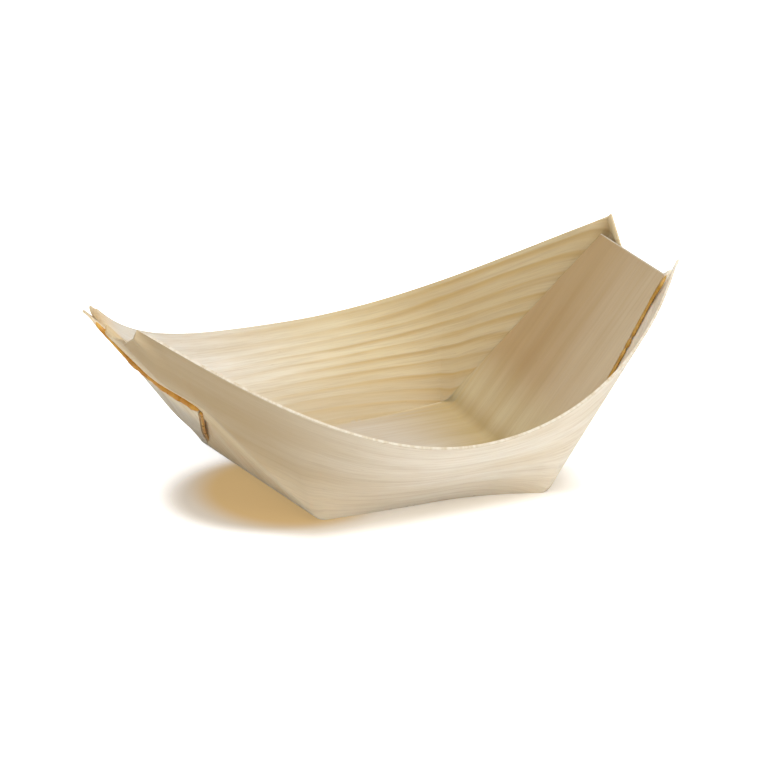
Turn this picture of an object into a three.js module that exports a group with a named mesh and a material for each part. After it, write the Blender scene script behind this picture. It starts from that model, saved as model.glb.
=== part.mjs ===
// Wooden snack boat: one scored blank of pine veneer, folded up and stuck at both ends with amber glue.
// Millimetres, +Z up, length along X. The origin is on the table under the middle of the floor.

import * as THREE from 'three';

const { lerp, clamp, degToRad, smootherstep } = THREE.MathUtils;

// Veneer and glue
const VENEER = 0.6; // thickness of the pine sheet
const GLUE_FILM = 0.3; // room for glue between two layers of veneer
const GLUE_CLEARANCE = 0.05; // from a glue film or bead to the veneer beside it
const FOLD_CLEARANCE = 0.25; // left between two panels at a fold

// Floor, rims and the bends at the floor's ends
const FLOOR_LENGTH = 57.8; // flat part, from bend to bend
const FLOOR_MID_WIDTH = 56; // between the creases at mid length
const FLOOR_OFFSET = 1.3; // middle of the creases from the centre line, towards the far side
const RIM_BEAM = 102.4; // over the outer faces of both rims at mid length
const RIM_OFFSET = 0.6; // middle of the rims from the centre line, towards the far side
const BEND_RADIUS = 4; // outer face of the bend between floor and tab

// The boat is folded by hand, so the two sides, the two ends and the four corners differ a little.
// A side: half the floor's width and half the beam at mid length, rim height there, and the rim's low point
const SIDES = {
  near: {
    sign: -1,
    crease: FLOOR_MID_WIDTH / 2 - FLOOR_OFFSET,
    beam: RIM_BEAM / 2 - RIM_OFFSET,
    rimHeight: 22.1,
    rimShift: 0.3,
  },
  far: {
    sign: 1,
    crease: FLOOR_MID_WIDTH / 2 + FLOOR_OFFSET,
    beam: RIM_BEAM / 2 + RIM_OFFSET,
    rimHeight: 20.6,
    rimShift: -1.9,
  },
};

// An end: slope of its bend line in plan, tilt of its tab, and the tab's length from the flat floor
const ENDS = {
  left: { sign: -1, skew: -0.067, tilt: degToRad(52.1), tab: 52.5 },
  right: { sign: 1, skew: 0.09, tilt: degToRad(50.1), tab: 59.3 },
};

// A fold beside a tab: half the strip's width at the tab's foot and head, and the fold's top above the tab
const FOLDS = {
  near_left: { foot: 25.8, head: 18.5, overrun: 12.5 },
  near_right: { foot: 32.7, head: 18.8, overrun: 2.7 },
  far_left: { foot: 31.6, head: 19, overrun: 8.5 },
  far_right: { foot: 33.1, head: 17, overrun: 2.7 },
};

// A corner of the rim, from the top of its fold: up along the tab, inward and behind the tab.
// Sweep and climb are the shares of a parabola in the rim's plan and in its side view.
const RIM_CORNERS = {
  near_left: { up: 0.4, inward: 1.3, behind: 0.6, sweep: 0.9, climb: 1.17 },
  near_right: { up: 2.1, inward: 1.9, behind: 2.4, sweep: 0.76, climb: 1.09 },
  far_left: { up: 0.6, inward: 1.4, behind: 0.4, sweep: 0.87, climb: 0.64 },
  far_right: { up: 1.9, inward: 1.2, behind: -2.5, sweep: 0.88, climb: 1 },
};

// Bending of the side panels round the floor's corners
const FAN_START = 0.6; // share of the half rim over the floor's straight fold
const FAN_KNEE = 0.45; // share of the half rim where the panel starts to climb the tab's edge
const FAN_CLIMB = 3; // power by which the panel's foot then climbs

// Flaps folded behind the end tabs
const FLAP_START = 10; // first point of the flap above the flat floor, along the sheet
const FLAP_DROP = 5; // upper end of the flap below the top of its fold
const FLAP_FOOT = 1.5; // width of the flap at its lower end
const FLAP_HEAD = 1.5; // width of the flap at its upper end
const INNER_TIP_RISE = 39; // inner flap's free corner above the flat floor, along the sheet
const INNER_TIP_REACH = 20; // inner flap's free corner past the boat's centre line
const OUTER_TIP_RISE = 31.2; // outer flap, the same two sizes
const OUTER_TIP_REACH = 4.1;
const FOLD_STANDOFF = 2.2; // how far the top of the fold bulges away behind the tab
const STANDOFF_REACH = 8; // width over which that bulge dies out

// Glue
const FILM_SHARE = 0.6; // size of a glue film against the flap it holds
const BEAD_RADIUS = 0.42;
const BEAD_START = 12; // lower end of the bead on the tab's edge, along the sheet
const BEAD_END_MARGIN = 1; // bead's upper end below the tab's top edge

// Mesh steps
const PANEL_HALF_COLUMNS = 28;
const PANEL_ROWS = 7;
const BEND_COLUMNS = 7;
const TAB_COLUMNS = 7;
const TAB_ROWS = 4;
const FLAP_HALF_COLUMNS = 10;
const FLAP_ROWS = 8;
const CURVE_STEPS = 16;
const BEAD_SIDES = 8;
const BEAD_STEPS = 20;

const INNER = 1; // layer next to the tab
const OUTER = 2; // layer outside the inner flap

const floorEnd = FLOOR_LENGTH / 2;
const scoreWidth = VENEER + FOLD_CLEARANCE;
const layerStep = GLUE_FILM + VENEER;

const pine = () => new THREE.MeshStandardMaterial({ color: 0xf0dfb8, roughness: 0.7, metalness: 0 });
const amber = () => new THREE.MeshStandardMaterial({ color: 0xc8842a, roughness: 0.3, metalness: 0 });

const otherSide = (side) => (side === 'near' ? 'far' : 'near');
const foldAt = (side, end) => FOLDS[`${side}_${end}`];
const rimCornerAt = (side, end) => RIM_CORNERS[`${side}_${end}`];
const foldTop = (side, end) => ENDS[end].tab + foldAt(side, end).overrun;
const bendLength = (end) => BEND_RADIUS * ENDS[end].tilt;

// At each end the flap on the same hand lies outermost.
const outerSide = (end) => (end === 'right' ? 'near' : 'far');
const layerOf = (side, end) => (side === outerSide(end) ? OUTER : INNER);

// The floor and its two tabs are one strip. This gives its outer face at a distance above the flat floor.
function stripAt(rise, end) {
  const tilt = clamp(rise / BEND_RADIUS, 0, ENDS[end].tilt);
  const straight = Math.max(0, rise - bendLength(end));
  return {
    x: floorEnd + Math.min(rise, 0) + BEND_RADIUS * Math.sin(tilt) + straight * Math.cos(tilt),
    z: BEND_RADIUS * (1 - Math.cos(tilt)) + straight * Math.sin(tilt),
    tilt,
  };
}

// The strip's width from the centre line to one side: the floor is waisted, and each tab narrows to its top.
function stripHalfWidth(rise, side, end) {
  const { foot, head } = foldAt(side, end);
  if (rise <= 0) {
    const along = (floorEnd + rise) / floorEnd;
    return lerp(SIDES[side].crease, foot, along * along);
  }
  return lerp(foot, head, rise / ENDS[end].tab);
}

// A point below the strip's outer face, square to the sheet, across from the centre line towards one side
function belowStrip(rise, across, depth, side, end) {
  const strip = stripAt(rise, end);
  const y = SIDES[side].sign * across;
  const skew = ENDS[end].skew * y * Math.min(1, (floorEnd + rise) / floorEnd);
  const x = ENDS[end].sign * (strip.x + depth * Math.sin(strip.tilt)) + skew;
  return new THREE.Vector3(x, y, strip.z - depth * Math.cos(strip.tilt));
}

// The bulge of a fold behind the tab, largest at the top of the fold
function standOff(fromEdge, rise, top) {
  const growth = (rise / top) ** 2;
  const fade = Math.max(0, 1 - fromEdge / STANDOFF_REACH) ** 2;
  return FOLD_STANDOFF * growth * fade;
}

// Depth of a flap's outer face below the tab, across from the centre line towards the flap's own fold
function flapDepth(across, rise, side, end) {
  const layer = layerOf(side, end);
  const top = foldTop(side, end);
  const settled = layer * layerStep * smootherstep(rise, 0, FLAP_START);
  const ownBulge = standOff(stripHalfWidth(rise, side, end) - across, rise, top);
  const underBulge = standOff(stripHalfWidth(rise, otherSide(side), end) + across, rise, top);
  return settled + ownBulge + (layer === OUTER ? underBulge : 0);
}

// The side panel's lower edge: floor crease first, then up along the tab's edge
function foldPoint(rise, side, end) {
  const across = stripHalfWidth(rise, side, end) + scoreWidth;
  const depth = rise > 0 ? flapDepth(across, rise, side, end) : 0;
  return belowStrip(rise, across, depth, side, end);
}

// Where the rim ends, measured from the top of the fold
function rimCorner(side, end) {
  const { up, inward, behind } = rimCornerAt(side, end);
  const top = foldTop(side, end);
  const across = stripHalfWidth(top, side, end) + scoreWidth - inward;
  return belowStrip(top + up, across, behind, side, end);
}

// The rim's outer face, from mid length at 0 to the corner at 1
function rimPoint(share, side, end) {
  const { sweep, climb } = rimCornerAt(side, end);
  const { sign, beam, rimHeight, rimShift } = SIDES[side];
  const corner = rimCorner(side, end);
  const square = share * share;
  const curve = (parabola) => parabola * square + (1 - parabola) * square * square;
  return new THREE.Vector3(
    corner.x * share + rimShift * (1 - square),
    lerp(sign * beam, corner.y, curve(sweep)),
    lerp(rimHeight, corner.z, curve(climb)),
  );
}

// Foot of the straight line that runs down a side panel from a place on its rim
function rulingFoot(share, side, end) {
  const floorShare = Math.sin((Math.PI / 2) * Math.min(1, share / FAN_START));
  const climb = Math.max(0, (share - FAN_KNEE) / (1 - FAN_KNEE)) ** FAN_CLIMB;
  return foldPoint(floorEnd * (floorShare - 1) + foldTop(side, end) * climb, side, end);
}

// A closed sheet: a grid of points on its outer face, thickened to the side that both grid steps turn up to
function sheetGeometry(columns, rows, outerAt, thickness) {
  const outer = [];
  for (let i = 0; i <= columns; i += 1) {
    for (let j = 0; j <= rows; j += 1) outer.push(outerAt(i, j / rows));
  }
  const at = (i, j) => i * (rows + 1) + j;
  const step = (i, j, di, dj) => {
    const ahead = outer[at(Math.min(i + di, columns), Math.min(j + dj, rows))];
    const behind = outer[at(Math.max(i - di, 0), Math.max(j - dj, 0))];
    return ahead.clone().sub(behind);
  };
  const inner = outer.map((point, n) => {
    const i = Math.floor(n / (rows + 1));
    const j = n % (rows + 1);
    const normal = step(i, j, 1, 0).cross(step(i, j, 0, 1)).normalize();
    return point.clone().addScaledVector(normal, thickness);
  });
  const lift = outer.length;
  const faces = [];
  const quad = (a, b, c, d) => faces.push(a, b, c, a, c, d);
  for (let i = 0; i < columns; i += 1) {
    for (let j = 0; j < rows; j += 1) {
      quad(at(i, j), at(i, j + 1), at(i + 1, j + 1), at(i + 1, j));
      quad(lift + at(i, j), lift + at(i + 1, j), lift + at(i + 1, j + 1), lift + at(i, j + 1));
    }
    quad(at(i, 0), at(i + 1, 0), lift + at(i + 1, 0), lift + at(i, 0));
    quad(at(i + 1, rows), at(i, rows), lift + at(i, rows), lift + at(i + 1, rows));
  }
  for (let j = 0; j < rows; j += 1) {
    quad(at(0, j + 1), at(0, j), lift + at(0, j), lift + at(0, j + 1));
    quad(at(columns, j), at(columns, j + 1), lift + at(columns, j + 1), lift + at(columns, j));
  }
  const geometry = new THREE.BufferGeometry().setFromPoints([...outer, ...inner]);
  geometry.setIndex(faces);
  geometry.computeVertexNormals();
  return geometry;
}

// Floor panel, its outline run round the four half creases
function floorGeometry() {
  const crease = (side, end) => {
    const points = [];
    for (let i = 0; i <= CURVE_STEPS; i += 1) {
      const rise = floorEnd * (i / CURVE_STEPS - 1);
      points.push(belowStrip(rise, stripHalfWidth(rise, side, end), 0, side, end));
    }
    return points;
  };
  const near = [...crease('near', 'left').reverse(), ...crease('near', 'right').slice(1)];
  const far = [...crease('far', 'right').reverse(), ...crease('far', 'left').slice(1)];
  const outline = new THREE.Shape([...near, ...far].map((point) => new THREE.Vector2(point.x, point.y)));
  return new THREE.ExtrudeGeometry(outline, { depth: VENEER, bevelEnabled: false });
}

// Side panel, from the rim down to the fold, bent round both corners of the floor
function sidePanelGeometry(side) {
  const [first, last] = side === 'near' ? ['left', 'right'] : ['right', 'left'];
  const outerAt = (i, v) => {
    const share = Math.abs(i / PANEL_HALF_COLUMNS - 1);
    const end = i < PANEL_HALF_COLUMNS ? first : last;
    return rimPoint(share, side, end).lerp(rulingFoot(share, side, end), v);
  };
  return sheetGeometry(2 * PANEL_HALF_COLUMNS, PANEL_ROWS, outerAt, VENEER);
}

// End tab with the soft bend that joins it to the floor
function tabGeometry(end) {
  const from = outerSide(end);
  const to = otherSide(from);
  const outerAt = (i, v) => {
    const inBend = lerp(FOLD_CLEARANCE, bendLength(end), i / BEND_COLUMNS);
    const onTab = lerp(bendLength(end), ENDS[end].tab, (i - BEND_COLUMNS) / TAB_COLUMNS);
    const rise = i < BEND_COLUMNS ? inBend : onTab;
    const across = lerp(stripHalfWidth(rise, from, end), -stripHalfWidth(rise, to, end), v);
    return belowStrip(rise, across, 0, from, end);
  };
  return sheetGeometry(BEND_COLUMNS + TAB_COLUMNS, TAB_ROWS, outerAt, VENEER);
}

// The flap's lower end, free corner and upper end, as across and rise
function flapCorners(side, end) {
  const top = foldTop(side, end) - FLAP_DROP;
  const outermost = layerOf(side, end) === OUTER;
  return {
    foot: new THREE.Vector2(stripHalfWidth(FLAP_START, side, end) - FLAP_FOOT, FLAP_START),
    tip: outermost
      ? new THREE.Vector2(-OUTER_TIP_REACH, OUTER_TIP_RISE)
      : new THREE.Vector2(-INNER_TIP_REACH, INNER_TIP_RISE),
    head: new THREE.Vector2(stripHalfWidth(top, side, end) - FLAP_HEAD, top),
  };
}

// A place in the flap's outline, as across and rise: v runs from the free edge to the fold.
function flapPlan(i, v, side, end) {
  const { foot, tip, head } = flapCorners(side, end);
  const up = i / FLAP_HALF_COLUMNS;
  const free = up < 1 ? foot.clone().lerp(tip, up) : tip.clone().lerp(head, up - 1);
  const rise = lerp(foot.y, head.y, up / 2);
  return free.lerp(new THREE.Vector2(stripHalfWidth(rise, side, end), rise), v);
}

// A sheet with the flap's outline, drawn in by a share, at a height above the flap's outer face
function layerGeometry(side, end, share, height, thickness) {
  const { foot, tip, head } = flapCorners(side, end);
  const middle = foot.clone().add(tip).add(head).divideScalar(3);
  const outerAt = (i, v) => {
    const plan = flapPlan(i, layerOf(side, end) === INNER ? v : 1 - v, side, end);
    const spot = middle.clone().lerp(plan, share);
    return belowStrip(spot.y, spot.x, flapDepth(spot.x, spot.y, side, end) - height, side, end);
  };
  return sheetGeometry(2 * FLAP_HALF_COLUMNS, FLAP_ROWS, outerAt, thickness);
}

const flapGeometry = (side, end) => layerGeometry(side, end, 1, 0, VENEER);

const filmHeight = VENEER + GLUE_CLEARANCE;
const filmThickness = GLUE_FILM - 2 * GLUE_CLEARANCE;
const filmGeometry = (side, end) => layerGeometry(side, end, FILM_SHARE, filmHeight, filmThickness);

// A round bead of glue along a row of points
function beadGeometry(pointAt) {
  const points = [];
  for (let i = 0; i <= CURVE_STEPS; i += 1) points.push(pointAt(i / CURVE_STEPS));
  const section = new THREE.Shape();
  section.absarc(0, 0, BEAD_RADIUS, 0, 2 * Math.PI);
  return new THREE.ExtrudeGeometry(section, {
    extrudePath: new THREE.CatmullRomCurve3(points),
    steps: BEAD_STEPS,
    curveSegments: BEAD_SIDES / 2,
    bevelEnabled: false,
  });
}

// Bead squeezed out along the tab's edge on the side of the outer flap
function tabBeadGeometry(end) {
  const side = outerSide(end);
  return beadGeometry((t) => {
    const rise = lerp(BEAD_START, ENDS[end].tab - BEAD_END_MARGIN, t);
    const across = stripHalfWidth(rise, side, end) + BEAD_RADIUS + GLUE_CLEARANCE;
    return belowStrip(rise, across, -VENEER / 2, side, end);
  });
}

// Bead squeezed out along the outer flap's end edge, from its free corner to its upper end
function flapBeadGeometry(end) {
  const side = outerSide(end);
  const { tip, head } = flapCorners(side, end);
  const along = head.clone().sub(tip).normalize();
  const outward = new THREE.Vector2(-along.y, along.x).multiplyScalar(BEAD_RADIUS + GLUE_CLEARANCE);
  return beadGeometry((t) => {
    const spot = tip.clone().lerp(head, t).add(outward);
    const depth = flapDepth(spot.x, spot.y, side, end) - VENEER + BEAD_RADIUS;
    return belowStrip(spot.y, spot.x, depth, side, end);
  });
}

const boat = new THREE.Group();

function add(name, geometry, material) {
  const mesh = new THREE.Mesh(geometry, material);
  mesh.name = name;
  boat.add(mesh);
}

add('floor_panel', floorGeometry(), pine());
add('near_side_panel', sidePanelGeometry('near'), pine());
add('far_side_panel', sidePanelGeometry('far'), pine());
['right', 'left'].forEach((end) => {
  const over = outerSide(end);
  const under = otherSide(over);
  add(`${end}_end_tab`, tabGeometry(end), pine());
  add(`${end}_inner_flap`, flapGeometry(under, end), pine());
  add(`${end}_outer_flap`, flapGeometry(over, end), pine());
  add(`${end}_inner_glue_film`, filmGeometry(under, end), amber());
  add(`${end}_outer_glue_film`, filmGeometry(over, end), amber());
  add(`${end}_tab_glue_bead`, tabBeadGeometry(end), amber());
  add(`${end}_flap_glue_bead`, flapBeadGeometry(end), amber());
});

export default boat;
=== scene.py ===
import math

import bmesh
import bpy
import numpy as np
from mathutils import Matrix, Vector


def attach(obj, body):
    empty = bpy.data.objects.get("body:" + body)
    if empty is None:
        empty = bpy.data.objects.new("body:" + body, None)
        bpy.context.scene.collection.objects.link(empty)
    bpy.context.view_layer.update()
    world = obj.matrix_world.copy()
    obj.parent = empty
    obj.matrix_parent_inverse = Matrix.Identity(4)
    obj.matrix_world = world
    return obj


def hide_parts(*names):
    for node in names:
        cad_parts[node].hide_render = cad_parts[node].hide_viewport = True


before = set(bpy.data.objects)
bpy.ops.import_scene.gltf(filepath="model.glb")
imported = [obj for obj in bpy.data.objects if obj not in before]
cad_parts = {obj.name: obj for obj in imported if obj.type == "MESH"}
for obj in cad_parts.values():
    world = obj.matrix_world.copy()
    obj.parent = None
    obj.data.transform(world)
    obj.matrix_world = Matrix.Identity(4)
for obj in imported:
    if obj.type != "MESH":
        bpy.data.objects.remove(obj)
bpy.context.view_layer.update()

MM = 0.001
INNER, OUTER = 1, 2  # layers of veneer behind a tab

# Sheet and folds in millimetres
VENEER = 0.6
LAYER_STEP = 0.9  # one layer of veneer and its glue
FLOOR_END = 28.9  # flat floor from the middle to the bend
BEND_RADIUS = 4.0
SKEW_WIDTH = 30.0  # distance from the centre line at which an end's skew is given
FOLD_OUT = 0.4  # how far a fold lies outside the tab's edge
SETTLE = 25.0  # climb over which a flap moves out to its layer
LAYER_REACH = 6.0  # width over which the outer flap moves out to its own layer
STANDOFF_REACH = 10.0  # width over which the bulge of a fold fades
STANDOFF_POWER = {INNER: 2, OUTER: 5}  # how late the bulge grows towards the top of the fold
SIDE_WIDTH = 29.0  # flat width of a side panel from crease to rim
FOLD_ANGLE = math.radians(23.5)  # fold against the grain in the flat blank
SLIT_RUN = (55.0, -14.0)  # slit edge of a flap in the flat blank, along and across the grain

# The photographed boat is hand folded, so its sides, ends and corners differ a little
SIDES = {
    "near": {"sign": -1, "crease": 26.7, "beam": 50.55, "height": 22.1, "shift": 0.3},
    "far": {"sign": 1, "crease": 29.3, "beam": 51.8, "height": 20.6, "shift": -1.9},
}
# Skew of the bend in plan, tilt and length of the tab, how far its top leans back, slope of its top edge
ENDS = {
    "left": {
        "sign": -1, "skew": -2.0, "tilt": math.radians(52.1), "tab": 49.5, "tab_back": 0.7, "slant": 0.0,
    },
    "right": {
        "sign": 1, "skew": 2.7, "tilt": math.radians(50.1), "tab": 59.0, "tab_back": 0.0, "slant": 0.026,
    },
}
# Half the strip's width at the tab's foot, and at its head with the height where that holds,
# then the top of the fold, the bulge of the fold and the bow of the flap
CORNERS = {
    ("near", "left"): {"foot": 25.8, "head": (18.5, 52.5), "fold": 65.0, "bulge": 2.2, "bow": 3.15},
    ("near", "right"): {"foot": 32.7, "head": (18.8, 59.3), "fold": 61.0, "bulge": -0.3, "bow": 0.8},
    ("far", "left"): {"foot": 31.6, "head": (19.0, 52.5), "fold": 60.0, "bulge": 1.5, "bow": 2.1},
    ("far", "right"): {"foot": 33.1, "head": (17.0, 59.3), "fold": 64.5, "bulge": 1.3, "bow": 2.0},
}
# Where each rim ends, and the shares of a parabola in its plan and its side view
RIMS = {
    ("near", "left"): {"reach": 69.4, "gap": 15.1, "height": 49.9, "sweep": 0.90, "climb": 1.17},
    ("near", "right"): {"reach": 71.3, "gap": 15.7, "height": 46.4, "sweep": 0.756, "climb": 1.09},
    ("far", "left"): {"reach": 68.5, "gap": 14.7, "height": 46.5, "sweep": 0.866, "climb": 0.635},
    ("far", "right"): {"reach": 70.1, "gap": 14.9, "height": 49.4, "sweep": 0.88, "climb": 1.0},
}
# Free corner of each flap: across from the middle, and rise
FLAP_TIP = {
    ("near", "left"): (-16.0, 53.5),
    ("near", "right"): (-8.0, 34.2),
    ("far", "left"): (-8.0, 34.2),
    ("far", "right"): (-20.0, 39.0),
}

# Bow of a flap, in shares of its climb and of its width from the fold to the slit edge
BOW_START, BOW_CLIMB, BOW_FOOT = 0.55, 0.3, 0.13
BOW_POWER = 5
BOW_LEAST_CLIMB = 0.01
PRESS, PRESS_START, PRESS_EDGE = 2.8, 0.4, 0.6  # the outer flap is pressed on at its slit edge

# Fan of the side panels round the floor's corners, in shares of half a rim
FAN_START = 0.6
FAN_KNEE = 0.45
FAN_POWER = 3
FAN_CROWDING = 1.5  # columns crowd towards the top of the fold

# Rounded folds: most of the panel and of the flap that a fold takes up, its size at the foot and its growth
SOFT_PANEL, SOFT_FLAP = 0.42, 0.3
SOFT_FOOT, SOFT_GROWTH = 0.6, 6.0

# The far left fold is cracked open near its top
CRACKED_CORNER = ("far", "left")
CRACK_START = 0.9  # share of the fold's length
CRACK_POWER = 1.3
CRACK_GAP = 0.5
CRACK_WIDTH = 0.25  # share of the flap that stands away
CRACK_BITE = 0.75  # share of the panel's end that the crack takes

# The far right fold runs out into a straight end edge near its top
PLAIN_CORNER = ("far", "right")
PULL_START = 0.925
PULL_REACH = 0.3

# Mesh of the veneer
PANEL_ROWS = 36
FLAP_ROWS = 40
STRIP_ROWS = 30
FLOOR_COLUMNS = 44
FAN_COLUMNS = 72
BEND_COLUMNS = 12
TAB_COLUMNS = 40
WORN_RIM = 0.011  # share of a side panel, next to its rim, that is worn as pale as the cut edge
WORN_TAB = 0.3  # the same at a tab's top, in millimetres
HALVINGS, RIM_SAMPLES = 60, 1001
MERGE_DISTANCE, THIN_EDGE = 2e-6, 1e-6  # in metres
SHARP_ANGLE = math.radians(28)


def lerp(a, b, t):
    return a + (b - a) * t


def clamp01(t):
    return min(1.0, max(0.0, t))


def smoother(t):
    t = clamp01(t)
    return t * t * t * (t * (t * 6 - 15) + 10)


def layer_of(side, end):
    return INNER if (side == "near") == (end == "left") else OUTER


def fold_top(side, end):
    return CORNERS[side, end]["fold"]


def strip_at(rise, end):
    """Outer face of the floor and tab: x, z and tilt at a distance above the flat floor."""
    full = ENDS[end]["tilt"]
    tilt = min(max(rise / BEND_RADIUS, 0.0), full)
    straight = max(0.0, rise - BEND_RADIUS * full)
    x = FLOOR_END + min(rise, 0.0) + BEND_RADIUS * math.sin(tilt) + straight * math.cos(tilt)
    z = BEND_RADIUS * (1 - math.cos(tilt)) + straight * math.sin(tilt)
    return x, z, tilt


def half_width(rise, side, end):
    """The strip's width from the centre line to one side: the floor is waisted, a tab narrows upwards."""
    corner = CORNERS[side, end]
    if rise <= 0:
        along = (FLOOR_END + rise) / FLOOR_END
        return lerp(SIDES[side]["crease"], corner["foot"], along * along)
    head, height = corner["head"]
    return lerp(corner["foot"], head, rise / height)


def place(rise, y, depth, end):
    """A point behind the strip's outer face, square to the sheet."""
    x, z, tilt = strip_at(rise, end)
    skew = ENDS[end]["skew"] * y / SKEW_WIDTH * clamp01((FLOOR_END + rise) / FLOOR_END)
    return np.array([
        ENDS[end]["sign"] * (x + depth * math.sin(tilt)) + skew,
        y,
        z - depth * math.cos(tilt),
    ])


def stand_off(side, end, from_edge, rise):
    """How far the bulge of a fold stands off behind the tab."""
    corner = CORNERS[side, end]
    power = STANDOFF_POWER[layer_of(side, end)]
    return corner["bulge"] * (rise / corner["fold"]) ** power * clamp01(1 - from_edge / STANDOFF_REACH) ** 2


def flap_bow(side, end, own, rise):
    """How far a flap bows away from the tab, from its width inside the fold and its rise."""
    bow, top = CORNERS[side, end]["bow"], fold_top(side, end)
    tip_across, tip_rise = FLAP_TIP[side, end]
    own_tip = half_width(tip_rise, side, end) - tip_across
    u = clamp01((rise + (top - tip_rise) / own_tip * own) / top)
    v = clamp01(own / (own_tip * max(u, BOW_LEAST_CLIMB)))
    if layer_of(side, end) == INNER:
        return bow * smoother((u - BOW_START) / BOW_CLIMB) * smoother(v / BOW_FOOT) * (1 - v ** BOW_POWER)
    pressed = PRESS * max(0.0, (u - PRESS_START) * (1 - u)) * smoother((v - PRESS_EDGE) / (1 - PRESS_EDGE))
    return bow * u ** BOW_POWER * math.sin(math.pi * v) - pressed


def flap_depth(side, end, across, rise):
    """Depth of a flap's outer face behind the tab. Across counts towards the flap's own fold."""
    own = half_width(rise, side, end) - across
    settled = LAYER_STEP * smoother(rise / SETTLE)
    depth = settled + stand_off(side, end, own, rise) + flap_bow(side, end, own, rise)
    if layer_of(side, end) == OUTER:
        depth += settled * smoother(own / LAYER_REACH)
    return depth


def flap_spot(side, end, u, v):
    """Across and rise on a flap: u climbs the fold, v goes from the fold to the slit edge."""
    rise = u * fold_top(side, end)
    fold = np.array([half_width(rise, side, end) + FOLD_OUT * smoother(rise / SETTLE), rise])
    slit = np.array([half_width(0, side, end), 0.0])
    tip = np.array(FLAP_TIP[side, end])
    free = slit + (tip - slit) * u
    return fold + (free - fold) * v


def flap_place(side, end, spot, inward=0.0):
    """A point on a flap's outer face, or that far in from it towards the tab."""
    depth = flap_depth(side, end, spot[0], spot[1]) - inward
    return place(spot[1], SIDES[side]["sign"] * spot[0], depth, end)


def rim_point(side, end, share):
    corner, middle = RIMS[side, end], SIDES[side]
    square = share * share
    sweep = corner["sweep"] * square + (1 - corner["sweep"]) * square * square
    climb = corner["climb"] * square + (1 - corner["climb"]) * square * square
    return np.array([
        ENDS[end]["sign"] * corner["reach"] * share + middle["shift"] * (1 - square),
        middle["sign"] * lerp(middle["beam"], corner["gap"], sweep),
        lerp(middle["height"], corner["height"], climb),
    ])


def foot_rise(share, side, end):
    """Where on the crease or the fold the straight line from a place on the rim ends."""
    floor_share = math.sin(math.pi / 2 * min(1.0, share / FAN_START))
    climb = max(0.0, (share - FAN_KNEE) / (1 - FAN_KNEE)) ** FAN_POWER
    return FLOOR_END * (floor_share - 1) + fold_top(side, end) * climb


def share_at(rise, side, end):
    """Where on the rim the line from a place on the crease ends, by halving."""
    low, high = 0.0, FAN_START
    for _ in range(HALVINGS):
        middle = (low + high) / 2
        if foot_rise(middle, side, end) < rise:
            low = middle
        else:
            high = middle
    return (low + high) / 2


panel_shares = [0.0, WORN_RIM] + [j / PANEL_ROWS for j in range(2, PANEL_ROWS + 1)]
floor_rises = [-FLOOR_END * math.cos(math.pi / 2 * i / FLOOR_COLUMNS) for i in range(FLOOR_COLUMNS)] + [0.0]


def column_shares(side, end):
    """Places on half a rim: those whose lines end on the floor's crease, then those on the fold."""
    inside = [share_at(rise, side, end) for rise in floor_rises]
    inside[0] = 0.0
    corner = inside[-1]
    steps = [i / FAN_COLUMNS for i in range(1, FAN_COLUMNS + 1)]
    outside = [corner + (1 - corner) * (1 - (1 - step) ** FAN_CROWDING) for step in steps]
    return inside, outside


def floor_column(side, end, share, rise):
    """Rim to crease, with the unused flap rows gathered on the crease."""
    top = rim_point(side, end, share)
    foot = place(rise, SIDES[side]["sign"] * half_width(rise, side, end), 0.0, end)
    panel = [lerp(top, foot, t) for t in panel_shares]
    return panel + [foot] * (FLAP_ROWS + 1)


def fold_column(side, end, share):
    """Rim, panel, rounded fold, then the flap behind the tab."""
    rise = foot_rise(share, side, end)
    u = rise / fold_top(side, end)
    top = rim_point(side, end, share)

    def behind_tab(v):
        return flap_place(side, end, flap_spot(side, end, u, v))

    on_flap = behind_tab
    if (side, end) == PLAIN_CORNER:
        pull = smoother((u - PULL_START) / (1 - PULL_START))
        lower = behind_tab(PULL_REACH)
        corner = lerp(top, lower, 0.5)

        def on_flap(v):
            straight = lerp(corner, lower, min(v / PULL_REACH, 1.0))
            return lerp(behind_tab(v), straight, pull if v < PULL_REACH else 0.0)

    fold = on_flap(0)
    panel_length = np.linalg.norm(top - fold)
    flap_length = np.linalg.norm(on_flap(1) - fold)
    soft = min(SOFT_PANEL * panel_length, SOFT_FLAP * flap_length, SOFT_FOOT + SOFT_GROWTH * u)
    start = lerp(fold, top, soft / panel_length)
    finish = on_flap(soft / flap_length)

    def rounded(point, run):
        if abs(run) >= soft:
            return point
        t = (run + soft) / (2 * soft)
        return (1 - t) ** 2 * start + 2 * t * (1 - t) * fold + t * t * finish

    crack = 0.0
    if (side, end) == CRACKED_CORNER:
        crack = max(0.0, (u - CRACK_START) / (1 - CRACK_START)) ** CRACK_POWER
    panel = []
    for t in panel_shares:
        point = rounded(lerp(top, fold, t), -panel_length * (1 - t))
        panel.append(lerp(point, top, CRACK_BITE * crack))
    flap = []
    for j in range(FLAP_ROWS + 1):
        v = j / FLAP_ROWS
        point = rounded(on_flap(v), flap_length * v)
        away = CRACK_GAP * crack * max(0.0, 1 - v / CRACK_WIDTH) ** 2
        flap.append(point + np.array([ENDS[end]["sign"] * away, 0.0, 0.0]))
    return panel + flap


def rim_runs(side, end):
    """Distance along the rim from its middle, as a function of the share."""
    fine = np.linspace(0, 1, RIM_SAMPLES)
    points = np.array([rim_point(side, end, t) for t in fine])
    run = np.concatenate([[0], np.cumsum(np.linalg.norm(np.diff(points, axis=0), axis=1))])
    return lambda share: float(np.interp(share, fine, run))


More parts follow.
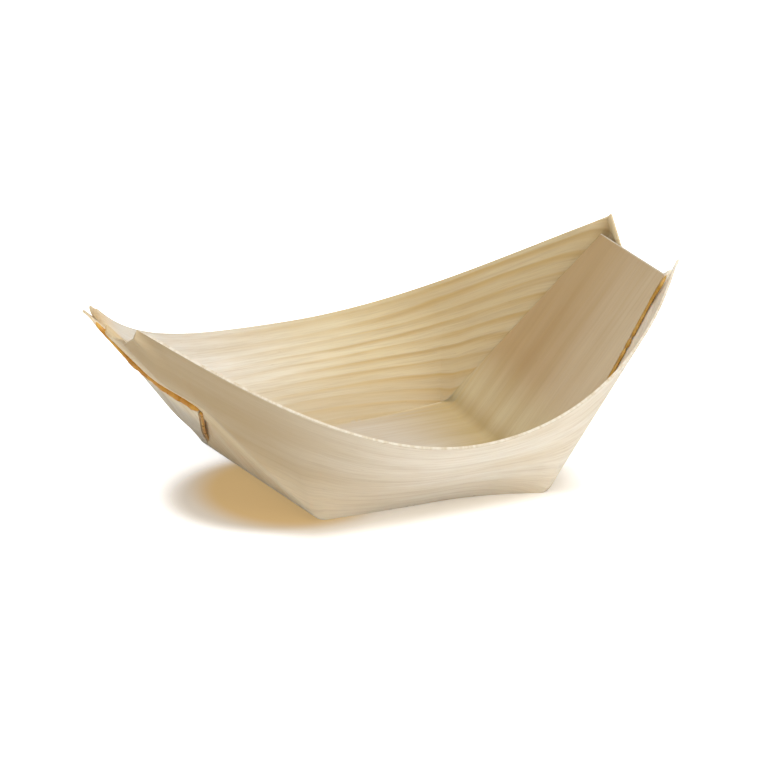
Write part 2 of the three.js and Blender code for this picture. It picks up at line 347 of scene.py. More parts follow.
def flat_column(side, end, rise, run):
    """A column in the flat blank: along the grain, across it, and the side."""
    corner = np.array([FLOOR_END, half_width(0, side, end)])
    top = np.array([run, SIDES[side]["crease"] + SIDE_WIDTH])
    if rise <= 0:
        foot = np.array([strip_at(rise, end)[0], half_width(rise, side, end)])
        free = foot
    else:
        foot = corner + rise * np.array([math.cos(FOLD_ANGLE), math.sin(FOLD_ANGLE)])
        free = corner + rise / fold_top(side, end) * np.array(SLIT_RUN)
    rows = [lerp(top, foot, t) for t in panel_shares]
    rows += [lerp(foot, free, j / FLAP_ROWS) for j in range(FLAP_ROWS + 1)]
    return [(ENDS[end]["sign"] * p[0], SIDES[side]["sign"] * p[1], SIDES[side]["sign"]) for p in rows]


def side_sheet(side):
    """Columns of one side sheet, in the order that keeps its outer face outward."""
    columns, flats = [], []
    for end in ("left", "right") if side == "near" else ("right", "left"):
        inside, outside = column_shares(side, end)
        run = rim_runs(side, end)
        part, part_flat = [], []
        for share, rise in zip(inside, floor_rises):
            part.append(floor_column(side, end, share, rise))
            part_flat.append(flat_column(side, end, rise, run(share)))
        for share in outside:
            part.append(fold_column(side, end, share))
            part_flat.append(flat_column(side, end, foot_rise(share, side, end), run(share)))
        if not columns:
            columns, flats = part[:0:-1], part_flat[:0:-1]
        else:
            columns, flats = columns + part, flats + part_flat
    return columns, flats


def floor_strip():
    """Columns of the floor with its two tabs, from left to right."""
    bend = BEND_RADIUS * ENDS["right"]["tilt"]  # the left end's bend is nearly as long
    rises = {}
    for end in ENDS:
        tab = ENDS[end]["tab"]
        climbs = [bend * i / BEND_COLUMNS for i in range(1, BEND_COLUMNS + 1)]
        climbs += [lerp(bend, tab - WORN_TAB, i / TAB_COLUMNS) for i in range(1, TAB_COLUMNS + 1)]
        rises[end] = floor_rises + climbs + [tab]
    stops = [(rise, "left") for rise in rises["left"][:0:-1]] + [(rise, "right") for rise in rises["right"]]
    columns, flats = [], []
    for rise, end in stops:
        low, high = -half_width(rise, "near", end), half_width(rise, "far", end)
        ys = [lerp(low, high, j / STRIP_ROWS) for j in range(STRIP_ROWS + 1)]
        share = clamp01(rise / ENDS[end]["tab"]) ** 3
        back, slant = ENDS[end]["tab_back"] * share, ENDS[end]["slant"] * share
        columns.append([place(rise - slant * y, y, back, end) for y in ys])
        flats.append([(ENDS[end]["sign"] * (FLOOR_END + rise), y, 0) for y in ys])
    return columns, flats


def finish_object(name, mesh):
    obj = bpy.data.objects.new(name, mesh)
    bpy.context.scene.collection.objects.link(obj)
    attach(obj, "root")
    return obj


def merge_points(mesh, outward=False):
    """Join points that coincide and drop faces without area."""
    bm = bmesh.new()
    bm.from_mesh(mesh)
    bmesh.ops.remove_doubles(bm, verts=bm.verts, dist=MERGE_DISTANCE)
    bmesh.ops.dissolve_degenerate(bm, edges=bm.edges, dist=THIN_EDGE)
    if outward:
        bmesh.ops.recalc_face_normals(bm, faces=bm.faces)
    bm.to_mesh(mesh)
    bm.free()


def build_veneer():
    """One sheet: the floor strip with its tabs, joined along both creases to the two side sheets."""
    verts, flats, faces, worn = [], [], [], []

    def grid(columns, flat_columns, gap_row=None, is_worn=None):
        base = len(verts)
        rows = len(columns[0])
        for column, flat in zip(columns, flat_columns):
            verts.extend(column)
            flats.extend(flat)
        for i in range(len(columns) - 1):
            for j in range(rows - 1):
                if j != gap_row:
                    a, b = base + i * rows + j, base + (i + 1) * rows + j
                    faces.append((a, b, b + 1, a + 1))
                    worn.append(int(is_worn is not None and is_worn(i, j, len(columns) - 2)))

    grid(*floor_strip(), is_worn=lambda i, j, last: i in (0, last))
    grid(*side_sheet("near"), gap_row=PANEL_ROWS, is_worn=lambda i, j, last: j == 0)
    grid(*side_sheet("far"), gap_row=PANEL_ROWS)
    mesh = bpy.data.meshes.new("veneer")
    mesh.from_pydata([tuple(p * MM) for p in verts], [], faces)
    mesh.polygons.foreach_set("material_index", worn)
    blank = mesh.attributes.new("blank", "FLOAT_VECTOR", "POINT")
    blank.data.foreach_set("vector", np.array(flats, float).ravel())
    merge_points(mesh)
    obj = finish_object("veneer", mesh)
    solid = obj.modifiers.new("thickness", "SOLIDIFY")
    solid.thickness = VENEER * MM
    solid.offset = 1.0
    solid.use_even_offset = False
    solid.use_rim = True
    solid.material_offset_rim = 1
    graph = bpy.context.evaluated_depsgraph_get()
    thick = bpy.data.meshes.new_from_object(
        obj.evaluated_get(graph), preserve_all_data_layers=True, depsgraph=graph)
    obj.modifiers.clear()
    obj.data = thick
    thick.name = "veneer"
    thick.shade_smooth()
    thick.set_sharp_from_angle(angle=SHARP_ANGLE)
    return obj


# Glue beads in millimetres. On a tab's edge: foot, end above the tab's top, radius, and place beside the edge
TAB_BEAD_FOOT = 9.0
TAB_BEAD_PAST_TOP = {"left": -6.0, "right": 0.5}
TAB_BEAD_RADIUS = 0.42
TAB_BEAD_OUT, TAB_BEAD_INSIDE = 0.42, 0.25
TAB_BEAD_SWAY, TAB_BEAD_SWAY_RATE = 0.06, 13
TAB_BEAD_LEAVES, TAB_BEAD_LEAVES_OVER, TAB_BEAD_LEAVES_BY = 52.0, 7.0, 0.6  # swings out near the tab's top
TAB_BEAD_NICKS = ((42.6, 0.55, 0.75), (39.6, 0.5, 0.6))  # rise, width and depth of each nick
# On the outer flap's end edge: free above the inner flap, then lying on it
END_BEAD_START = 0.12  # share of the edge
END_BEAD_LANDS, END_BEAD_LANDS_OVER = 0.36, 0.2
END_BEAD_OUT, END_BEAD_INWARD, END_BEAD_RADIUS = (0.1, 0.55), (0.5, 0.6), (0.5, 0.88)
# On the outer flap's slit edge, from its free corner down
SLIT_BEAD_END = 0.2
SLIT_BEAD_OUT, SLIT_BEAD_INWARD, SLIT_BEAD_RADIUS = (-0.42, -0.18), 0.62, (0.42, 0.32)
# Wedge behind the bowed outer flap
WEDGE_SPAN, WEDGE_RADIUS, WEDGE_INSET = (0.14, 0.5), (0.42, 0.6), 0.2
WEDGE_PHASE, WEDGE_POWER, WEDGE_SINK = (0.03, 0.92), 0.6, 0.8
BEAD_STEPS, SLIT_STEPS, WEDGE_STEPS = 150, 24, 59
BEAD_SIDES = 10
BEAD_TIP = 0.05  # share of the radius at the very end of a bead
BEAD_WAVES = ((0.1, 19, 1.0), (0.07, 47, 2.3), (0.04, 101, 1.0))  # size, rate and share of the seed

# Glue films: middle and reach on the flap, clearance and thickness
FILM_MIDDLE, FILM_REACH = (0.62, 0.45), (0.14, 0.18)
FILM_CLEARANCE, FILM_THICKNESS = 0.05, 0.18
FILM_STEPS = 12


def tube(verts, faces, path, radii):
    """A round bead along a path, closed to a point at both ends."""
    path = np.array(path)
    steps = np.gradient(path, axis=0)
    steps /= np.linalg.norm(steps, axis=1)[:, None]
    across = np.cross(steps[0], (0.31, 0.52, 0.79))  # any direction that no bead follows
    base = len(verts)
    for point, step, radius in zip(path, steps, radii):
        across = across - step * np.dot(across, step)
        across /= np.linalg.norm(across)
        up = np.cross(step, across)
        for k in range(BEAD_SIDES):
            turn = 2 * math.pi * k / BEAD_SIDES
            verts.append(point + radius * (math.cos(turn) * across + math.sin(turn) * up))
    for i in range(len(path) - 1):
        for k in range(BEAD_SIDES):
            a, b = base + i * BEAD_SIDES + k, base + i * BEAD_SIDES + (k + 1) % BEAD_SIDES
            faces.append((a, b, b + BEAD_SIDES, a + BEAD_SIDES))
    for row, point, turn in ((0, path[0], -1), (len(path) - 1, path[-1], 1)):
        verts.append(point)
        hub = len(verts) - 1
        ring = [base + row * BEAD_SIDES + k for k in range(BEAD_SIDES)]
        for k in range(BEAD_SIDES):
            face = (ring[k], ring[(k + 1) % BEAD_SIDES], hub)
            faces.append(face if turn > 0 else face[::-1])


def wobble(t, seed):
    """Unevenness of a bead along its length, about 1."""
    return 1 + sum(size * math.sin(rate * t + share * seed) for size, rate, share in BEAD_WAVES)


def taper(t, share):
    """Rounded ends that take up that share of a bead."""
    return math.sqrt(clamp01(min(t, 1 - t) / share)) if t not in (0, 1) else BEAD_TIP


def build_beads(end):
    """Glue squeezed out along the tab's edge and along the outer flap's cut edges."""
    verts, faces = [], []
    side = "near" if end == "right" else "far"
    sign = SIDES[side]["sign"]
    edge = flap_spot(side, end, 1, 1) - flap_spot(side, end, 1, 0)
    edge /= np.linalg.norm(edge)
    outward = np.array([-edge[1], edge[0]])
    outward *= np.sign(outward[1])

    def on_tab_edge(t):
        rise = lerp(TAB_BEAD_FOOT, ENDS[end]["tab"] + TAB_BEAD_PAST_TOP[end], t)
        out = half_width(rise, side, end) + TAB_BEAD_OUT + TAB_BEAD_SWAY * math.sin(TAB_BEAD_SWAY_RATE * t)
        out += TAB_BEAD_LEAVES_BY * smoother((rise - TAB_BEAD_LEAVES) / TAB_BEAD_LEAVES_OVER)
        nick = sum(depth * math.exp(-((rise - at) / width) ** 2) for at, width, depth in TAB_BEAD_NICKS)
        radius = TAB_BEAD_RADIUS * taper(t, share=0.04) * wobble(t, seed=1.7) * (1 - nick)
        return place(rise, sign * out, -TAB_BEAD_INSIDE, end), radius

    def on_end_edge(t):
        v = lerp(END_BEAD_START, 1.0, t)
        landed = smoother((v - END_BEAD_LANDS) / END_BEAD_LANDS_OVER)
        spot = flap_spot(side, end, 1, v) + outward * lerp(*END_BEAD_OUT, landed)
        radius = lerp(*END_BEAD_RADIUS, landed) * taper(t, share=0.05) * wobble(t, seed=0.4)
        return flap_place(side, end, spot, lerp(*END_BEAD_INWARD, landed)), radius

    def on_slit_edge(t):
        spot = flap_spot(side, end, lerp(1.0, SLIT_BEAD_END, t), 1.0) + np.array(SLIT_BEAD_OUT)
        radius = lerp(*SLIT_BEAD_RADIUS, t) * taper(t, share=0.03)
        return flap_place(side, end, spot, SLIT_BEAD_INWARD), radius

    def behind_flap(t):
        spot = flap_spot(side, end, 1, lerp(*WEDGE_SPAN, t)) - outward * WEDGE_INSET
        swell = math.sin(math.pi * lerp(*WEDGE_PHASE, t)) ** WEDGE_POWER
        radius = lerp(*WEDGE_RADIUS, t) * swell * wobble(t, seed=5.1)
        return flap_place(side, end, spot, VENEER + WEDGE_SINK * radius), radius

    beads_here = (
        (on_tab_edge, BEAD_STEPS),
        (on_end_edge, BEAD_STEPS),
        (on_slit_edge, SLIT_STEPS),
        (behind_flap, WEDGE_STEPS),
    )
    for bead_at, steps in beads_here:
        path, radii = zip(*[bead_at(i / steps) for i in range(steps + 1)])
        tube(verts, faces, path, radii)
    mesh = bpy.data.meshes.new(f"{end}_glue_beads")
    mesh.from_pydata([tuple(p * MM) for p in verts], [], faces)
    mesh.shade_smooth()
    return finish_object(f"{end}_glue_beads", mesh)


def build_films(end):
    """Thin patches of glue between the layers."""
    verts, faces = [], []
    row = FILM_STEPS + 1
    skin_points = row ** 2
    for side in SIDES:
        base = len(verts)
        for skin in (0, 1):
            for i in range(row):
                for j in range(row):
                    angle, reach = 2 * math.pi * j / FILM_STEPS, i / FILM_STEPS
                    u = FILM_MIDDLE[0] + FILM_REACH[0] * reach * math.cos(angle)
                    v = FILM_MIDDLE[1] + FILM_REACH[1] * reach * math.sin(angle)
                    inward = VENEER + FILM_CLEARANCE + FILM_THICKNESS * skin
                    verts.append(flap_place(side, end, flap_spot(side, end, u, v), inward))
        for i in range(FILM_STEPS):
            for j in range(FILM_STEPS):
                a, b = base + i * row + j, base + (i + 1) * row + j
                faces.append((a, b, b + 1, a + 1))
                faces.append(tuple(skin_points + corner for corner in (a + 1, b + 1, b, a)))
        for j in range(FILM_STEPS):
            a = base + FILM_STEPS * row + j
            faces.append((a, a + skin_points, a + skin_points + 1, a + 1))
    mesh = bpy.data.meshes.new(f"{end}_glue_films")
    mesh.from_pydata([tuple(p * MM) for p in verts], [], faces)
    merge_points(mesh, outward=True)
    return finish_object(f"{end}_glue_films", mesh)


veneer = build_veneer()
beads = {end: build_beads(end) for end in ENDS}
films = {end: build_films(end) for end in ENDS}


class Tree:
    """Short ways to add nodes to a material."""

    def __init__(self, name):
        self.material = bpy.data.materials.new(name)
        self.material.use_nodes = True
        self.nodes = self.material.node_tree.nodes
        self.links = self.material.node_tree.links
        self.shader = self.nodes["Principled BSDF"]

    def put(self, socket, value):
        if isinstance(value, bpy.types.NodeSocket):
            self.links.new(value, socket)
        else:
            socket.default_value = value

    def shade(self, **values):
        """Set the shader's own sockets, named with underscores."""
        for name, value in values.items():
            self.put(self.shader.inputs[name.replace("_", " ")], value)

    def math(self, operation, *values):
        node = self.nodes.new("ShaderNodeMath")
        node.operation = operation
        for socket, value in zip(node.inputs, values):
            self.put(socket, value)
        return node.outputs[0]

    def vector(self, x, y, z=0.0):
        node = self.nodes.new("ShaderNodeCombineXYZ")
        for socket, value in zip(node.inputs, (x, y, z)):
            self.put(socket, value)
        return node.outputs[0]

    def split(self, vector):
        node = self.nodes.new("ShaderNodeSeparateXYZ")
        self.links.new(vector, node.inputs[0])
        return node.outputs["X"], node.outputs["Y"], node.outputs["Z"]

    def noise(self, vector, detail=2.0, roughness=0.5):
        node = self.nodes.new("ShaderNodeTexNoise")
        self.put(node.inputs["Vector"], vector)
        node.inputs["Scale"].default_value = 1.0
        node.inputs["Detail"].default_value = detail
        node.inputs["Roughness"].default_value = roughness
        return node.outputs["Fac"]

    def step(self, value, low, high, out_low=0.0, out_high=1.0):
        node = self.nodes.new("ShaderNodeMapRange")
        node.interpolation_type = "SMOOTHSTEP"
        names = ("Value", "From Min", "From Max", "To Min", "To Max")
        for name, number in zip(names, (value, low, high, out_low, out_high)):
            self.put(node.inputs[name], number)
        return node.outputs["Result"]

    def mix(self, factor, first, second, blend="MIX"):
        node = self.nodes.new("ShaderNodeMix")
        node.data_type = "RGBA"
        node.blend_type = blend
        self.put(node.inputs["Factor"], factor)
        self.put(node.inputs[6], first)
        self.put(node.inputs[7], second)
        return node.outputs[2]

    def fade(self, value, span, first, second, most=1.0):
        """The first colour before the span, and beyond it the second one, or that much of it."""
        return self.mix(self.step(value, *span, 0.0, most), first, second)

    def bump(self, height, strength, distance=0.0001):
        node = self.nodes.new("ShaderNodeBump")
        node.inputs["Strength"].default_value = strength
        node.inputs["Distance"].default_value = distance
        self.put(node.inputs["Height"], height)
        self.put(self.shader.inputs["Normal"], node.outputs["Normal"])

    def blank(self):
        """Along and across the flat blank in millimetres, and the side: near -1, far 1, floor and tabs 0."""
        node = self.nodes.new("ShaderNodeAttribute")
        node.attribute_name = "blank"
        return self.split(node.outputs["Vector"])

    def grain(self, place_on_blank, length, width, shift, detail=2, roughness=0.5):
        """Noise drawn out along the grain: its features are about that long and wide, in millimetres."""
        along, across, _ = place_on_blank
        x = self.math("MULTIPLY", along, 1 / length)
        y = self.math("MULTIPLY", across, 1 / width)
        return self.noise(self.vector(x, y, shift), detail, roughness)


def srgb(red, green, blue):
    def linear(value):
        value /= 255
        return value / 12.92 if value <= 0.04045 else ((value + 0.055) / 1.055) ** 2.4
    return (linear(red), linear(green), linear(blue), 1.0)


# Tones of the veneer; some of them are painted light and shade, as said below
# The floor fades darker and more golden towards the right end, partly painted shade of that end
FLOOR, FLOOR_RIGHT_PART_PAINTED_SHADE = srgb(215, 206, 192), srgb(197, 177, 132)
# Painted light: on the strip under the left end, whose outer face looks down into shade, and in the crease
# where the floor bends up into the right tab
TAB_LEFT_PAINTED_LIGHT, TAB_LOW_PAINTED_LIGHT = srgb(246, 228, 194), srgb(217, 202, 165)
# The right tab's browner tone is partly painted shade
TAB_PART_PAINTED_SHADE, TAB_NEAR = srgb(195, 167, 125), srgb(214, 195, 164)
# Near panel: painted shade at its left, painted light at its right, and painted bounce light from the table
# towards the crease
NEAR_LEFT_PAINTED_SHADE, NEAR_LOW_PAINTED_BOUNCE_LIGHT, NEAR_RIGHT_PAINTED_LIGHT = srgb(202, 183, 150), srgb(236, 216, 177), srgb(250, 242, 226)
FAR_LEFT, FAR_RIGHT, FAR_LOW = srgb(236, 233, 226), srgb(228, 214, 177), srgb(211, 197, 169)
# Painted light: over the shade by the far right fold, and on the left end's outer flap, which faces down into
# shade
FAR_TIP_PAINTED_LIGHT, FLAP_LEFT_PAINTED_LIGHT = srgb(242, 228, 192), srgb(249, 234, 206)
RING, SHADE = srgb(205, 174, 112), srgb(236, 226, 208)
FIBRE, FLECK = srgb(184, 160, 126), srgb(164, 132, 92)
RING_STRENGTH, SHADE_STRENGTH, FIBRE_STRENGTH, FLECK_STRENGTH = 0.75, 0.7, 0.28, 0.2
EDGE_PALE, EDGE_DARK = srgb(231, 221, 202), srgb(212, 195, 165)
# Where along the flat blank, or across it, one tone fades into the next, in millimetres
TO_TAB_LEFT_PAINTED_LIGHT, TO_FLOOR_RIGHT_PART_PAINTED_SHADE, TO_TAB_LOW_PAINTED_LIGHT, TO_TAB = (-30, -36), (8, 31), (31, 37), (37, 52)
TO_NEAR_RIGHT_PAINTED_LIGHT, TO_FAR_RIGHT, TO_FAR_TIP_PAINTED_LIGHT, TO_FLAP_LEFT_PAINTED_LIGHT = (-60, 4), (-42, 24), (75, 86), (-64, -78)
ACROSS_TO_TAB_NEAR, ACROSS_TO_NEAR_LOW_PAINTED_LIGHT, ACROSS_TO_FAR_LOW = (12, -20), (-42, -28), (46, 31)
# Growth lines in millimetres: their distance, their drift and ripple, and where they come out
RING_DISTANCE, RING_DRIFT, RING_RIPPLE = 2.6, 5.0, 0.7
RINGS_ACROSS, RINGS_ALONG, RINGS_LEAST = (22, 40), (-35, 35), 0.1
RING_RISE, RING_FALL = (0.25, 0.78), (1.0, 0.8)  # shares of the distance over which a line darkens and ends
# Hot melt glue at the right end and, thicker, at the left end, where it is also painted lighter against the
# shade it lies in
GLUE_DARK = srgb(176, 132, 48), srgb(200, 138, 38)
GLUE_PALE = srgb(208, 166, 80), srgb(228, 174, 70)
GLUE_THICKER_AND_PAINTED_LIGHTER = (0.02, -0.02)
GLUE_GRAIN = 300  # clouds per metre


def ground_tones(tree, spot):
    """The veneer's tones before its lines and fibres, with painted light and shade in some of them."""
    along, across, side = spot
    tab = tree.fade(across, ACROSS_TO_TAB_NEAR, TAB_PART_PAINTED_SHADE, TAB_NEAR)
    # Strip: painted light under the left end and in the right crease, partly painted shade towards the right
    # end
    strip = tree.fade(along, TO_TAB_LEFT_PAINTED_LIGHT, FLOOR, TAB_LEFT_PAINTED_LIGHT)
    for span, tone in ((TO_FLOOR_RIGHT_PART_PAINTED_SHADE, FLOOR_RIGHT_PART_PAINTED_SHADE), (TO_TAB_LOW_PAINTED_LIGHT, TAB_LOW_PAINTED_LIGHT), (TO_TAB, tab)):
        strip = tree.fade(along, span, strip, tone)
    # Near panel: painted shade at the left, painted light at the right and painted bounce light near the
    # crease
    near = tree.fade(across, ACROSS_TO_NEAR_LOW_PAINTED_LIGHT, NEAR_LEFT_PAINTED_SHADE, NEAR_LOW_PAINTED_BOUNCE_LIGHT)
    near = tree.fade(along, TO_NEAR_RIGHT_PAINTED_LIGHT, near, NEAR_RIGHT_PAINTED_LIGHT)
    far = tree.fade(along, TO_FAR_RIGHT, FAR_LEFT, FAR_RIGHT)
    far = tree.fade(across, ACROSS_TO_FAR_LOW, far, FAR_LOW, most=0.6)
    # Painted light by the far right fold and on the outer flap at the left end
    far = tree.fade(along, TO_FAR_TIP_PAINTED_LIGHT, far, FAR_TIP_PAINTED_LIGHT)
    far = tree.fade(along, TO_FLAP_LEFT_PAINTED_LIGHT, far, FLAP_LEFT_PAINTED_LIGHT)
    return tree.fade(side, (0, 1), tree.fade(side, (0, -1), strip, near), far)


def growth_lines(tree, spot):
    """Lines that drift and break, strongest on the right of the far panel."""
    along, across, _ = spot
    drift = tree.math("SUBTRACT", tree.grain(spot, length=75, width=16, shift=3.1), 0.5)
    ripple = tree.math("SUBTRACT", tree.grain(spot, length=18, width=3.5, shift=7.7), 0.5)
    bent = tree.math("MULTIPLY_ADD", drift, RING_DRIFT, across)
    bent = tree.math("MULTIPLY_ADD", ripple, RING_RIPPLE, bent)
    phase = tree.math("FRACT", tree.math("MULTIPLY", bent, 1 / RING_DISTANCE))
    line = tree.math("MULTIPLY", tree.step(phase, *RING_RISE), tree.step(phase, *RING_FALL))
    patches = tree.grain(spot, length=40, width=2.2, shift=11.0, detail=3, roughness=0.55)
    breaks = tree.step(patches, 0.25, 0.6, 0.25, 1.0)
    shown_across = tree.step(across, *RINGS_ACROSS, RINGS_LEAST, 1.0)
    shown_along = tree.step(along, *RINGS_ALONG, RINGS_LEAST, 1.0)
    shown = tree.math("MULTIPLY", shown_across, shown_along)
    return tree.math("MULTIPLY", line, tree.math("MULTIPLY", breaks, shown))


def pine_material():
    tree = Tree("pine")
    spot = tree.blank()
    line = growth_lines(tree, spot)
    clouds = tree.grain(spot, length=60, width=9, shift=1.3, detail=3, roughness=0.55)
    streak = tree.grain(spot, length=40, width=1.1, shift=5.2, detail=3, roughness=0.55)
    hair = tree.grain(spot, length=8, width=0.22, shift=9.4, detail=3, roughness=0.6)
    flecks = tree.step(tree.grain(spot, length=3.0, width=0.6, shift=13.0), 0.7, 0.78)
    colour = ground_tones(tree, spot)
    shade = tree.math("MULTIPLY", tree.step(clouds, 0.3, 0.7), SHADE_STRENGTH)
    colour = tree.mix(shade, colour, SHADE, "MULTIPLY")
    colour = tree.mix(tree.math("MULTIPLY", line, RING_STRENGTH), colour, RING)
    colour = tree.fade(streak, (0.45, 0.8), colour, FIBRE, most=FIBRE_STRENGTH)
    colour = tree.fade(hair, (0.42, 0.75), colour, FIBRE, most=FIBRE_STRENGTH)
    colour = tree.mix(tree.math("MULTIPLY", flecks, FLECK_STRENGTH), colour, FLECK)
    height = tree.math("MULTIPLY_ADD", streak, 0.7, tree.math("MULTIPLY", line, -0.25))
    tree.bump(tree.math("MULTIPLY_ADD", hair, 0.5, height), strength=0.3)
    tree.shade(Base_Color=colour, Roughness=tree.step(streak, 0.3, 0.7, 0.52, 0.68), Specular_IOR_Level=0.3)
    tree.shade(Subsurface_Weight=0.5, Subsurface_Radius=(1.0, 0.85, 0.7), Subsurface_Scale=0.0004)
    return tree.material


def edge_material():
    """Cut and worn edges of the veneer."""
    tree = Tree("pine_edge")
    fibre = tree.grain(tree.blank(), length=1.2, width=0.5, shift=2.0, detail=3, roughness=0.6)
    tree.bump(fibre, strength=0.5)
    tree.shade(Base_Color=tree.fade(fibre, (0.35, 0.75), EDGE_PALE, EDGE_DARK))
    tree.shade(Roughness=tree.step(fibre, 0.3, 0.7, 0.62, 0.8), Specular_IOR_Level=0.25)
    return tree.material


def glue_material():
    tree = Tree("amber_glue")
    node = tree.nodes.new("ShaderNodeTexCoord")
    scaled = tree.nodes.new("ShaderNodeMapping")
    scaled.inputs["Scale"].default_value = (GLUE_GRAIN, GLUE_GRAIN, GLUE_GRAIN)
    tree.links.new(node.outputs["Object"], scaled.inputs["Vector"])
    cloud = tree.noise(scaled.outputs["Vector"], detail=3, roughness=0.55)
    along = tree.split(node.outputs["Object"])[0]
    # The left end's glue is deeper in colour and painted lighter against its shade
    dark, pale = (tree.fade(along, GLUE_THICKER_AND_PAINTED_LIGHTER, *pair) for pair in (GLUE_DARK, GLUE_PALE))
    tree.bump(cloud, strength=0.4)
    tree.shade(Base_Color=tree.fade(cloud, (0.35, 0.68), dark, pale))
    tree.shade(Roughness=tree.step(cloud, 0.3, 0.7, 0.24, 0.42))
    tree.shade(Subsurface_Weight=0.25, Subsurface_Radius=(1.0, 0.45, 0.1), Subsurface_Scale=0.0006)
    return tree.material


pine, edge, amber = pine_material(), edge_material(), glue_material()
veneer.data.materials.append(pine)
veneer.data.materials.append(edge)
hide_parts("floor_panel", "near_side_panel", "far_side_panel",
            *[f"{end}_{piece}" for end in ENDS for piece in ("end_tab", "inner_flap", "outer_flap")])
for end in ENDS:
    glue_pieces = (
        (beads[end], ("tab_glue_bead", "flap_glue_bead")),
        (films[end], ("inner_glue_film", "outer_glue_film")),
    )
    for piece, names in glue_pieces:
        piece.data.materials.append(amber)
        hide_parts(*[f"{end}_{name}" for name in names])

# Table: pale, lit by the lamps, and lifted to white for the camera only, with painted shadows in front of and
# under the boat, in metres
TABLE_HALF = 3.0
TABLE_DROP = 0.00005
TABLE_COLOUR, TABLE_LIFT = (0.94, 0.94, 0.94, 1), (0.8, 0.8, 0.8, 1)
# Painted shadow: close in front of the floor's edge the table is lifted less, for the camera only
FRONT_PAINTED_SHADOW_LIFT = (0.19, 0.15, 0.1, 1)
FRONT_RIGHT, FRONT_LEFT = (0.05, 0.03), (-0.05, -0.03)
FRONT_NEAR, FRONT_FAR = (-0.044, -0.031), (-0.012, -0.022)
# Painted shadow under the left end: for the camera only, a grey shade with a warm golden shade inside it is
# painted into the table's colour and lift, in place of the shadow and of light that has come through the thin
# wood
PAINTED_SHADE_MIDDLE = (-0.028, -0.0055)
PAINTED_WARM_SHADE_LIFT, PAINTED_WARM_SHADE, WARM_REACH = (0.43, 0.3, 0.14, 1), (0.26, 0.17, 0.08, 1), (0.0235, 0.0275)
PAINTED_GREY_SHADE_LIFT, PAINTED_GREY_SHADE, GREY_REACH = (0.46, 0.41, 0.35, 1), (0.28, 0.25, 0.21, 1), (0.0245, 0.0215)
WARM_FADE, GREY_FADE = (1.05, 0.68), (1.42, 0.97)


def table_material():
    tree = Tree("table_white_painted_shadow")
    spot = tree.nodes.new("ShaderNodeNewGeometry")
    x, y, _ = tree.split(spot.outputs["Position"])
    camera_ray = tree.nodes.new("ShaderNodeLightPath").outputs["Is Camera Ray"]

    def shade_distance(reach):
        """Distance from the middle of the shade, 1 on the ellipse with that reach."""
        squares = []
        for value, middle, half in zip((x, y), PAINTED_SHADE_MIDDLE, reach):
            offset = tree.math("MULTIPLY", tree.math("SUBTRACT", value, middle), 1 / half)
            squares.append(tree.math("MULTIPLY", offset, offset))
        return tree.math("SQRT", tree.math("ADD", *squares))

    # Painted shadows seen by the camera only: grey and warm shade under the left end, and a lower lift in
    # front of the floor's edge
    painted_grey_shade = tree.step(shade_distance(GREY_REACH), *GREY_FADE)
    painted_warm_shade = tree.step(shade_distance(WARM_REACH), *WARM_FADE)
    # Painted shadow in front of the floor's edge
    front = tree.math("MULTIPLY", tree.step(x, *FRONT_RIGHT), tree.step(x, *FRONT_LEFT))
    for span in (FRONT_NEAR, FRONT_FAR):
        front = tree.math("MULTIPLY", front, tree.step(y, *span))
    seen = tree.math("MULTIPLY", painted_grey_shade, camera_ray)
    colour = tree.mix(seen, TABLE_COLOUR, tree.mix(painted_warm_shade, PAINTED_GREY_SHADE, PAINTED_WARM_SHADE))
    lift = tree.mix(painted_grey_shade, tree.mix(front, TABLE_LIFT, FRONT_PAINTED_SHADOW_LIFT), tree.mix(painted_warm_shade, PAINTED_GREY_SHADE_LIFT, PAINTED_WARM_SHADE_LIFT))
    tree.shade(Base_Color=colour, Roughness=0.9, Specular_IOR_Level=0.1)
    tree.shade(Emission_Color=lift, Emission_Strength=camera_ray)
    return tree.material


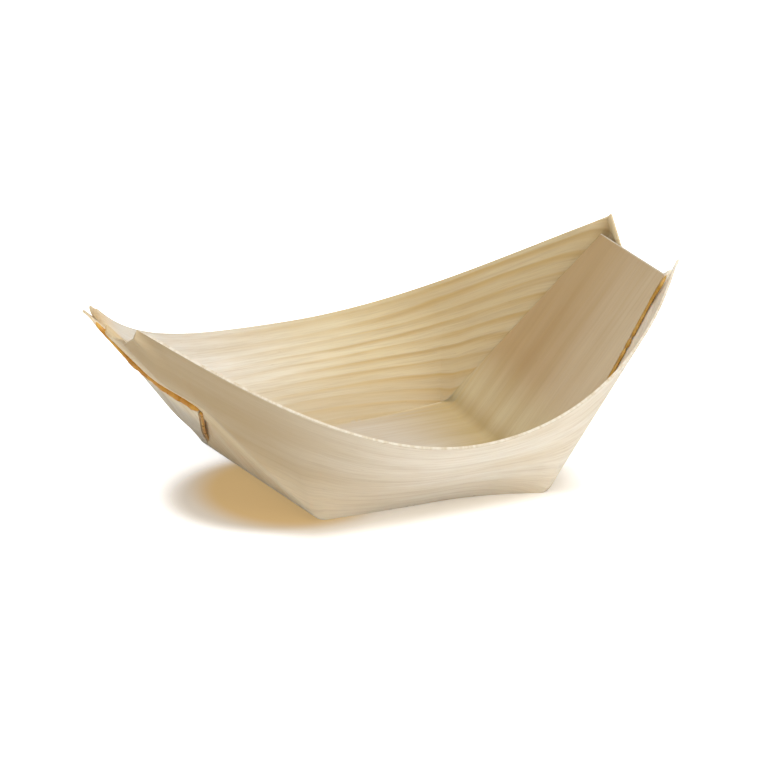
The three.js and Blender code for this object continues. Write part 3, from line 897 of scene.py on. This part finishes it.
table_mesh = bpy.data.meshes.new("table")
corners = [(TABLE_HALF * x, TABLE_HALF * y, 0) for x, y in ((-1, -1), (1, -1), (1, 1), (-1, 1))]
table_mesh.from_pydata(corners, [], [(0, 1, 2, 3)])
table_mesh.materials.append(table_material())
table = bpy.data.objects.new("table", table_mesh)
table.location.z = -TABLE_DROP
bpy.context.scene.collection.objects.link(table)

# Soft studio light
ROOM_COLOUR, ROOM_STRENGTH = (1, 0.985, 0.96, 1), 0.3
LAMP_AIM = Vector((0, 0, 0.02))
world = bpy.data.worlds.new("studio")
bpy.context.scene.world = world
world.use_nodes = True
room = world.node_tree.nodes["Background"]
room.inputs["Color"].default_value = ROOM_COLOUR
room.inputs["Strength"].default_value = ROOM_STRENGTH


def softbox(name, spot, size, power):
    lamp = bpy.data.lights.new(name, "AREA")
    lamp.shape = "SQUARE"
    lamp.size = size
    lamp.energy = power
    obj = bpy.data.objects.new(name, lamp)
    obj.location = spot
    obj.rotation_euler = (LAMP_AIM - Vector(spot)).to_track_quat("-Z", "Y").to_euler()
    bpy.context.scene.collection.objects.link(obj)


softbox("key", (0.14, -0.27, 1.05), size=1.4, power=11.4)
softbox("front", (0.48, -1.0, 0.4), size=0.8, power=3.5)
softbox("left", (-1.0, -0.2, 0.16), size=1.0, power=2.4)

# Camera at the photograph's viewing angle
AZIMUTH = math.radians(25.96)
ELEVATION = math.radians(19.9)
DISTANCE = 1.0035
FOCAL_PIXELS = 4200
IMAGE_PIXELS = 768
SENSOR_WIDTH = 36
VIEW_DEPTH = 20
TARGET = Vector((0.00025, -0.00012, 0.02088))
camera = bpy.data.cameras.new("camera")
camera.sensor_width = SENSOR_WIDTH
camera.lens = FOCAL_PIXELS / IMAGE_PIXELS * SENSOR_WIDTH
camera.clip_end = VIEW_DEPTH
cam = bpy.data.objects.new("camera", camera)
level = math.cos(ELEVATION)
look = Vector((math.sin(AZIMUTH) * level, math.cos(AZIMUTH) * level, -math.sin(ELEVATION)))
cam.location = TARGET - DISTANCE * look
cam.rotation_euler = look.to_track_quat("-Z", "Y").to_euler()
bpy.context.scene.collection.objects.link(cam)
bpy.context.scene.camera = cam
bpy.context.scene.view_settings.view_transform = "Standard"
